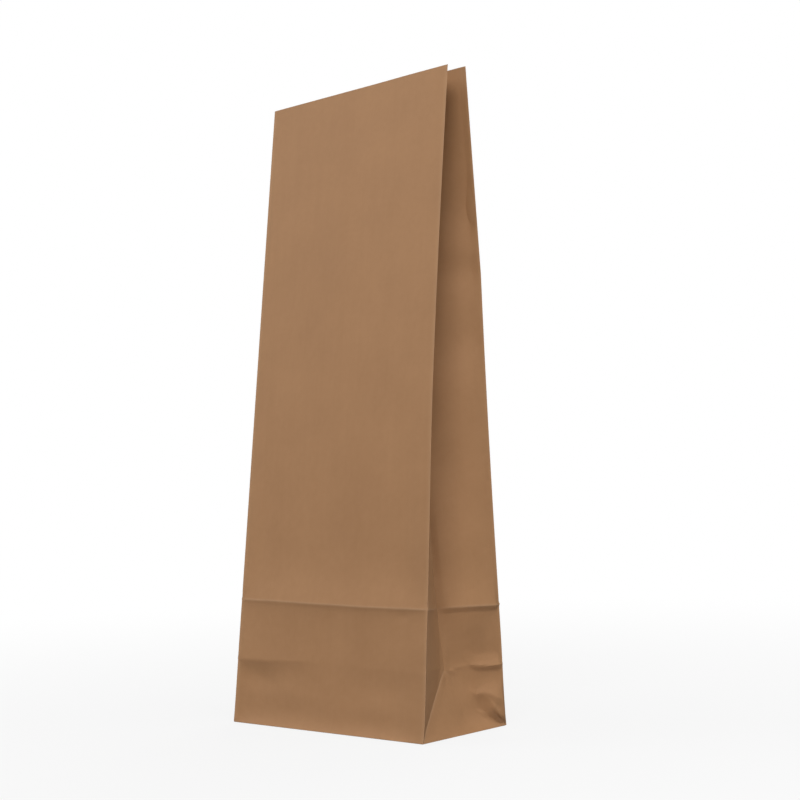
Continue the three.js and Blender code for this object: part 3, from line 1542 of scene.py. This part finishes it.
@dataclass(frozen=True)
class BottomFlap:
    """A flap of the block bottom: a panel's paper turned under the base and glued down.

    Attributes:
        name: Name of the piece.
        paper: The flat paper.
        stance: How the sack stands.
        face: -1 where it hangs from the front, 1 from the back.
        reach: How far it goes under the base from its fold.
        depth_below: How far its lower side lies below the sack's own bottom.
        start: Where it begins, in radii of the base from the fold.
        tuck: How far inside the turned-under paper it begins.
        settled: By how many radii from the fold it lies at its full depth.
        edge_wear: Wear of the free edge.
        crisp: Angle past which an edge stays sharp.
        rows: Rows from the fold to the free edge.
        columns: Columns along the fold.
    """

    name: str
    paper: FlatPaper
    stance: Stance
    face: int
    reach: float
    depth_below: float
    start: float = 0.25
    tuck: float = 0.05 * MM
    settled: float = 3.0
    edge_wear: float = 0.35
    crisp: float = radians(40.0)
    rows: int = 40
    columns: int = 60

    def lower_side(self) -> Array:
        """The side that faces the floor.

        A row s from the fold follows the turned-under paper and then the flat bottom, set off
        from it by an amount that eases from the tuck above it to the full depth below it. The
        row is as wide as the base less s on each side, so the ends are cut at 45 degrees.

        Returns:
            The points, rows by columns by 3.
        """
        radius = self.stance.base_radius
        s = np.linspace(self.start * radius, self.reach, self.rows)
        bend = np.clip(s / radius, 0.0, 1.0)
        rise = radius * (1.0 - np.sqrt(1.0 - (1.0 - bend) ** 2))
        below = lerp(-self.tuck, self.depth_below, smooth(s / (self.settled * radius)))
        y = self.face * (self.paper.leaf - s)
        skew = -self.face * self.stance.base_skew * (1.0 - s / self.paper.leaf)
        half = self.paper.front / 2.0 - radius - s
        x = skew[:, None] + half[:, None] * np.linspace(-1.0, 1.0, self.columns)[None, :]
        z = self.stance.lift + rise - below
        return np.stack(np.broadcast_arrays(x, y[:, None], z[:, None]), axis=-1)

    def skin(self) -> Skin:
        """The flap as a thin closed plate: two sides and the edge round them.

        Returns:
            The skin.
        """
        low = self.lower_side()
        high = low + np.array([0.0, 0.0, self.paper.thickness])
        rows, columns = low.shape[:2]
        rises = np.ones(columns - 1, dtype=bool)
        faces = grid_triangles(rows, columns - 1, rises, closed=False)
        number = np.arange(rows * columns).reshape(rows, columns)
        rim = np.concatenate(
            [number[0], number[1:, -1], number[-1, -2::-1], number[-2:0:-1, 0]]
        )
        after = np.roll(rim, -1)
        top = rows * columns
        edge = np.concatenate(
            [
                np.stack([rim, after, after + top], axis=-1),
                np.stack([rim, after + top, rim + top], axis=-1),
            ]
        )
        if self.face < 0:
            triangles = np.concatenate([faces[:, ::-1], faces + top, edge])
        else:
            triangles = np.concatenate([faces, faces[:, ::-1] + top, edge[:, ::-1]])
        points = np.concatenate([low.reshape(-1, 3), high.reshape(-1, 3)])
        place = points[:, :2] + self.paper.beside(self.face * self.paper.depth)
        wear_and_highlight = np.zeros((2, rows, columns))
        wear_and_highlight[:, -1] = self.edge_wear
        return Skin(points, triangles, place[triangles], wear_and_highlight.ravel())

    def build(self, finish: bpy.types.Material) -> bpy.types.Object:
        """Make the piece and give it its place in the frame.

        Args:
            finish: The paper's material.

        Returns:
            The piece.
        """
        return dress(self.skin().as_object(self.name, finish, self.crisp))


# ---------------------------------------------------------------- materials


class NodeKind(Enum):
    """The shader nodes that the finishes use."""

    MATH = "ShaderNodeMath"
    VECTOR_MATH = "ShaderNodeVectorMath"
    MIX = "ShaderNodeMix"
    NOISE = "ShaderNodeTexNoise"
    UV = "ShaderNodeUVMap"
    ATTRIBUTE = "ShaderNodeAttribute"
    MAP_RANGE = "ShaderNodeMapRange"
    BUMP = "ShaderNodeBump"
    BSDF = "ShaderNodeBsdfPrincipled"
    EMISSION = "ShaderNodeEmission"
    MIX_SHADER = "ShaderNodeMixShader"
    OUTPUT = "ShaderNodeOutputMaterial"
    BACKGROUND = "ShaderNodeBackground"
    WORLD_OUTPUT = "ShaderNodeOutputWorld"
    LIGHT_PATH = "ShaderNodeLightPath"
    COORDINATES = "ShaderNodeTexCoord"


class Wire:
    """A value in a node tree that Python arithmetic can be done on."""

    def __init__(self, tree: "Tree", socket: bpy.types.NodeSocket) -> None:
        """Hold an output socket of a tree."""
        self.tree = tree
        self.socket = socket

    def math(self, operation: str, a: "Wire | float", b: "Wire | float") -> "Wire":
        """Add a Math node and return its value."""
        node = self.tree.node(NodeKind.MATH, {"operation": operation}, {0: a, 1: b})
        return self.tree.wire(node, "Value")

    def __add__(self, other: "Wire | float") -> "Wire":
        """This plus the other."""
        return self.math("ADD", self, other)

    def __radd__(self, other: float) -> "Wire":
        """The number plus this."""
        return self.math("ADD", other, self)

    def __sub__(self, other: "Wire | float") -> "Wire":
        """This less the other."""
        return self.math("SUBTRACT", self, other)

    def __rsub__(self, other: float) -> "Wire":
        """The number less this."""
        return self.math("SUBTRACT", other, self)

    def __mul__(self, other: "Wire | float") -> "Wire":
        """This times the other."""
        return self.math("MULTIPLY", self, other)

    def __rmul__(self, other: float) -> "Wire":
        """The number times this."""
        return self.math("MULTIPLY", other, self)


@dataclass
class Tree:
    """A shader's node tree, with short ways to add nodes to it."""

    nodes: bpy.types.Nodes
    links: bpy.types.NodeLinks

    @classmethod
    def cleared(cls, owner: bpy.types.Material | bpy.types.World) -> "Tree":
        """Turn on a material's or a world's nodes and clear them.

        Args:
            owner: The material or the world.

        Returns:
            Its empty tree.
        """
        owner.use_nodes = True
        owner.node_tree.nodes.clear()
        return cls(owner.node_tree.nodes, owner.node_tree.links)

    def node(
        self, kind: NodeKind, settings: dict | None = None, inputs: dict | None = None
    ) -> bpy.types.Node:
        """Add a node, with its settings first and then its inputs.

        Args:
            kind: Which node.
            settings: Its properties by name.
            inputs: Values, or Wires to link, by the name or number of the socket.

        Returns:
            The node.
        """
        node = self.nodes.new(kind.value)
        for name, value in (settings or {}).items():
            setattr(node, name, value)
        for name, value in (inputs or {}).items():
            if isinstance(value, Wire):
                self.links.new(value.socket, node.inputs[name])
            else:
                node.inputs[name].default_value = value
        return node

    def wire(self, node: bpy.types.Node, output: str | int) -> Wire:
        """One output of a node."""
        return Wire(self, node.outputs[output])

    def mix(self, share: Wire, a: Wire | Colour, b: Wire | Colour) -> Wire:
        """A colour the given share of the way from a to b.

        Args:
            share: The share, held between 0 and 1.
            a: The colour at 0.
            b: The colour at 1.

        Returns:
            The colour.
        """
        ends = [end if isinstance(end, Wire) else (*end, 1.0) for end in (a, b)]
        node = self.node(
            NodeKind.MIX, {"data_type": "RGBA"}, {"Factor": share, "A": ends[0], "B": ends[1]}
        )
        return self.wire(node, 2)


@dataclass(frozen=True)
class Layer:
    """One layer of the paper's unevenness: fractal noise over the sheet, about 0.

    Attributes:
        round_girth: Cells of the noise to a metre round the girth.
        up_paper: Cells to a metre up the paper.
        detail: How many finer noises are laid over it.
        harshness: How strong each of those is beside the one before.
        tint: Its share in the colour, from dark to light.
        fray_highlight: Its share in the lighter colour of a fold, scuffed and with painted
            highlight.
        dull: Its share in the roughness.
        relief: Its share in the height of the surface.
    """

    round_girth: float
    up_paper: float
    detail: float
    harshness: float
    tint: float
    fray_highlight: float = 0.0
    dull: float = 0.0
    relief: float = 0.0

    def noise(self, tree: Tree, sheet: Wire) -> Wire:
        """Add the layer's noise, from about -0.5 to 0.5.

        Args:
            tree: The material's nodes.
            sheet: Places on the sheet.

        Returns:
            The noise.
        """
        cells = {0: sheet, 1: (self.round_girth, self.up_paper, 1.0)}
        place = tree.node(NodeKind.VECTOR_MATH, {"operation": "MULTIPLY"}, cells)
        inputs = {
            "Vector": tree.wire(place, "Vector"),
            "Scale": 1.0,
            "Detail": self.detail,
            "Roughness": self.harshness,
        }
        node = tree.node(NodeKind.NOISE, {"noise_dimensions": "3D"}, inputs)
        return tree.wire(node, "Fac") - 0.5


@dataclass(frozen=True)
class KraftPaper:
    """Matt brown kraft paper, cloudy and fibrous, with a faint machine grain up the sheet.

    Attributes:
        dark: Colour where the pulp lies thick.
        light: Colour where it lies thin.
        rubbed_and_highlit: Colour along a fold, lighter for scuffing and as a painted highlight.
        middle: Share of the light colour where every layer is at 0.
        rubbed_highlight_share: Share of the lighter fold colour, scuffed and painted highlight,
            along a fold.
        roughness: Mean roughness.
        rubbed_roughness: Roughness that a scuffed fold has more.
        specular: Specular level of the sheet.
        bump: Strength of the surface's relief, and its depth.
        layers: Clouds, flocks of pulp, grain, streaks, and fibres up and across the sheet.
    """

    dark: Colour = (0.281, 0.143, 0.063)
    light: Colour = (0.406, 0.222, 0.107)
    # Painted highlight: this lighter fold colour is partly scuffed paper, partly light that a
    # rounded fold would catch.
    rubbed_and_highlit: Colour = (0.460, 0.285, 0.165)
    middle: float = 0.5
    rubbed_highlight_share: float = 0.44
    roughness: float = 0.66
    rubbed_roughness: float = 0.1
    specular: float = 0.25
    bump: tuple[float, float] = (0.5, 0.06 * MM)
    layers: tuple[Layer, ...] = (
        Layer(16.0, 16.0, 4.0, 0.55, tint=0.5, dull=0.1),
        Layer(130.0, 130.0, 3.0, 0.6, tint=0.25, relief=0.6),
        Layer(420.0, 7.0, 2.0, 0.5, tint=0.08, relief=0.35),
        Layer(60.0, 2.5, 2.0, 0.5, tint=0.15),
        Layer(2600.0, 700.0, 3.0, 0.65, tint=0.14, fray_highlight=0.64, dull=0.12, relief=0.5),
        Layer(650.0, 2400.0, 3.0, 0.65, tint=0.14, fray_highlight=0.64, dull=0.12, relief=0.5),
    )

    @staticmethod
    def laid(noises: Sequence[Wire], shares: Sequence[float], start: float) -> Wire:
        """The start with each noise times its share added, but for shares of 0."""
        return sum((noise * share for noise, share in zip(noises, shares) if share), start)

    def material(self, name: str) -> bpy.types.Material:
        """Build the finish on the piece's own sheet map and its mask of scuffing and painted
        highlight.

        Args:
            name: Name of the material.

        Returns:
            The material.
        """
        material = bpy.data.materials.new(name)
        tree = Tree.cleared(material)
        sheet = tree.wire(tree.node(NodeKind.UV, {"uv_map": SHEET_MAP}), "UV")
        wear_and_highlight = tree.wire(tree.node(NodeKind.ATTRIBUTE, {"attribute_name": WEAR_AND_HIGHLIGHT}), "Fac")
        noises = [layer.noise(tree, sheet) for layer in self.layers]

        shade = self.laid(noises, [layer.tint for layer in self.layers], self.middle)
        paper = tree.mix(shade, self.dark, self.light)
        fray_highlight = self.laid(noises, [layer.fray_highlight for layer in self.layers], self.rubbed_highlight_share)
        # Painted highlight: the colour is mixed towards the lighter fold colour along the fold
        # mask, with scuffing.
        colour = tree.mix(wear_and_highlight * fray_highlight, paper, self.rubbed_and_highlit)
        dull = self.laid(noises, [layer.dull for layer in self.layers], self.roughness)
        height = self.laid(noises, [layer.relief for layer in self.layers], 0.0)

        strength, depth = self.bump
        bump = tree.node(
            NodeKind.BUMP, inputs={"Strength": strength, "Distance": depth, "Height": height}
        )
        shader = tree.node(
            NodeKind.BSDF,
            inputs={
                "Base Color": colour,
                "Roughness": dull + wear_and_highlight * self.rubbed_roughness,
                "Normal": tree.wire(bump, "Normal"),
                "Specular IOR Level": self.specular,
            },
        )
        tree.node(NodeKind.OUTPUT, inputs={"Surface": tree.wire(shader, "BSDF")})
        return material


@dataclass(frozen=True)
class FloorPaint:
    """Plain pale paint for the floor, which glows to the same white as the surround.

    Attributes:
        colour: Colour of the paint.
        roughness: Its roughness.
        specular: Its specular level.
        glow: Share of the glow at the middle of the floor, the rest being lit paint.
        even: Distance from the middle at which the floor is seen as even white.
    """

    colour: Colour = (0.4, 0.4, 0.4)
    roughness: float = 0.9
    specular: float = 0.1
    glow: float = 0.86
    even: float = 1.6

    def material(self, name: str) -> bpy.types.Material:
        """Build the finish. The glow is only seen, and lights nothing.

        Args:
            name: Name of the material.

        Returns:
            The material.
        """
        material = bpy.data.materials.new(name)
        tree = Tree.cleared(material)
        paint = tree.node(
            NodeKind.BSDF,
            inputs={
                "Base Color": (*self.colour, 1.0),
                "Roughness": self.roughness,
                "Specular IOR Level": self.specular,
            },
        )
        white = tree.node(NodeKind.EMISSION, inputs={"Color": (1.0, 1.0, 1.0, 1.0)})
        place = tree.wire(tree.node(NodeKind.COORDINATES), "Object")
        length = tree.node(NodeKind.VECTOR_MATH, {"operation": "LENGTH"}, {0: place})
        away = tree.node(
            NodeKind.MAP_RANGE,
            {"interpolation_type": "SMOOTHSTEP"},
            {
                "Value": tree.wire(length, "Value"),
                "From Min": 0.0,
                "From Max": self.even,
                "To Min": self.glow,
                "To Max": 1.0,
            },
        )
        seen = tree.wire(tree.node(NodeKind.LIGHT_PATH), "Is Camera Ray")
        share = seen * tree.wire(away, "Result")
        mixed = tree.node(
            NodeKind.MIX_SHADER,
            inputs={
                "Fac": share,
                1: tree.wire(paint, "BSDF"),
                2: tree.wire(white, "Emission"),
            },
        )
        tree.node(NodeKind.OUTPUT, inputs={"Surface": tree.wire(mixed, "Shader")})
        return material


# ---------------------------------------------------------------- the studio


@dataclass(frozen=True)
class SoftLight:
    """A large soft light that faces the sack.

    Attributes:
        name: Name of the light.
        azimuth: Way from the front round to the right, in radians.
        elevation: Height above the floor as an angle, in radians.
        power: Power in watts.
        distance: Distance from the point that it faces.
        size: Side of the square.
    """

    name: str
    azimuth: float
    elevation: float
    power: float
    distance: float = 4.0
    size: float = 2.2

    def place(self, target: Vector) -> None:
        """Set the light up.

        Args:
            target: The point that it faces.
        """
        data = bpy.data.lights.new(self.name, "AREA")
        data.shape = "SQUARE"
        data.size = self.size
        data.energy = self.power
        away = Vector(
            (
                sin(self.azimuth) * cos(self.elevation),
                -cos(self.azimuth) * cos(self.elevation),
                sin(self.elevation),
            )
        )
        light = bpy.data.objects.new(self.name, data)
        light.location = target + away * self.distance
        light.rotation_euler = away.to_track_quat("Z", "Y").to_euler()
        bpy.context.scene.collection.objects.link(light)


@dataclass(frozen=True)
class Camera:
    """The camera, to the right of the front and low, looking a little up.

    Attributes:
        azimuth: Way round from the front to the right that it stands, in radians.
        distance: Level distance from the middle of the base.
        height: Height above the floor.
        heading: Level way it looks, from straight back round to the left, in radians.
        pitch: Angle that it looks up.
        roll: Turn about its own axis.
        lens: Focal length in millimetres.
        sensor: Width of the sensor in millimetres.
    """

    azimuth: float = radians(43.441)
    distance: float = 1.70297
    height: float = 0.26367
    heading: float = radians(42.001)
    pitch: float = radians(2.112)
    roll: float = radians(-1.685)
    lens: float = 75.345
    sensor: float = 36.0

    def place(self) -> None:
        """Set the camera up and make it the scene's camera."""
        data = bpy.data.cameras.new("camera")
        data.lens = self.lens
        data.sensor_width = self.sensor
        camera = bpy.data.objects.new("camera", data)
        place = Vector(
            (sin(self.azimuth) * self.distance, -cos(self.azimuth) * self.distance, self.height)
        )
        camera.matrix_world = (
            Matrix.Translation(place)
            @ Matrix.Rotation(self.heading, 4, "Z")
            @ Matrix.Rotation(pi / 2.0 + self.pitch, 4, "X")
            @ Matrix.Rotation(self.roll, 4, "Z")
        )
        bpy.context.scene.collection.objects.link(camera)
        bpy.context.scene.camera = camera


@dataclass(frozen=True)
class Studio:
    """A white floor and a white surround under soft light.

    Attributes:
        floor_radius: Half the side of the floor.
        surround: Brightness of the surround as it lights the sack.
        backdrop: Brightness of the surround as it is seen.
        aim: Height on the sack that the lights face.
        lights: The soft lights.
    """

    floor_radius: float = 14.0
    surround: float = 0.10
    backdrop: float = 1.0
    aim: float = 0.40
    lights: tuple[SoftLight, ...] = (
        SoftLight("front_light", radians(35.0), radians(35.0), 110.0),
        SoftLight("right_light", radians(85.0), radians(60.0), 62.0),
        SoftLight("side_light", radians(125.0), radians(35.0), 27.0),
        SoftLight("left_light", radians(-55.0), radians(30.0), 67.0),
        SoftLight("back_light", radians(200.0), radians(45.0), 60.0),
    )

    def build_floor(self) -> None:
        """Lay the floor as one large square."""
        r = self.floor_radius
        mesh = bpy.data.meshes.new("floor")
        mesh.from_pydata([(-r, -r, 0), (r, -r, 0), (r, r, 0), (-r, r, 0)], [], [(0, 1, 2, 3)])
        mesh.materials.append(FloorPaint().material("floor_paint"))
        floor = bpy.data.objects.new("floor", mesh)
        bpy.context.scene.collection.objects.link(floor)

    def build_surround(self) -> None:
        """Surround the scene with even white light."""
        world = bpy.data.worlds.new("surround")
        bpy.context.scene.world = world
        tree = Tree.cleared(world)
        seen = tree.wire(tree.node(NodeKind.LIGHT_PATH), "Is Camera Ray")
        strength = self.surround + seen * (self.backdrop - self.surround)
        background = tree.node(
            NodeKind.BACKGROUND, inputs={"Color": (1.0, 1.0, 1.0, 1.0), "Strength": strength}
        )
        tree.node(
            NodeKind.WORLD_OUTPUT, inputs={"Surface": tree.wire(background, "Background")}
        )

    def build(self) -> None:
        """Set up the floor, the surround, the lights and the camera."""
        self.build_floor()
        self.build_surround()
        for light in self.lights:
            light.place(Vector((0.0, 0.0, self.aim)))
        Camera().place()
        bpy.context.scene.view_settings.view_transform = "Standard"


def main() -> None:
    """Build the studio, the sack and the flaps of its block bottom, in order."""
    logging.basicConfig(level=logging.INFO, format="%(name)s: %(message)s")
    Studio().build()
    paper, stance = FlatPaper.from_frame(), Stance()
    kraft = KraftPaper().material("kraft_paper")
    relief = Handling(paper).relief()
    pieces = [
        Sack(paper, Form(paper, stance), relief, Columns(paper, relief.seam)).build(kraft),
        BottomFlap("inner_flap", paper, stance, -1, 84.0 * MM, 0.24 * MM).build(kraft),
        BottomFlap("outer_flap", paper, stance, 1, 84.0 * MM, 0.48 * MM).build(kraft),
    ]
    for piece in pieces:
        LOG.info("%s: %d triangles", piece.name, len(piece.data.polygons))


if __name__ == "__main__":
    main()
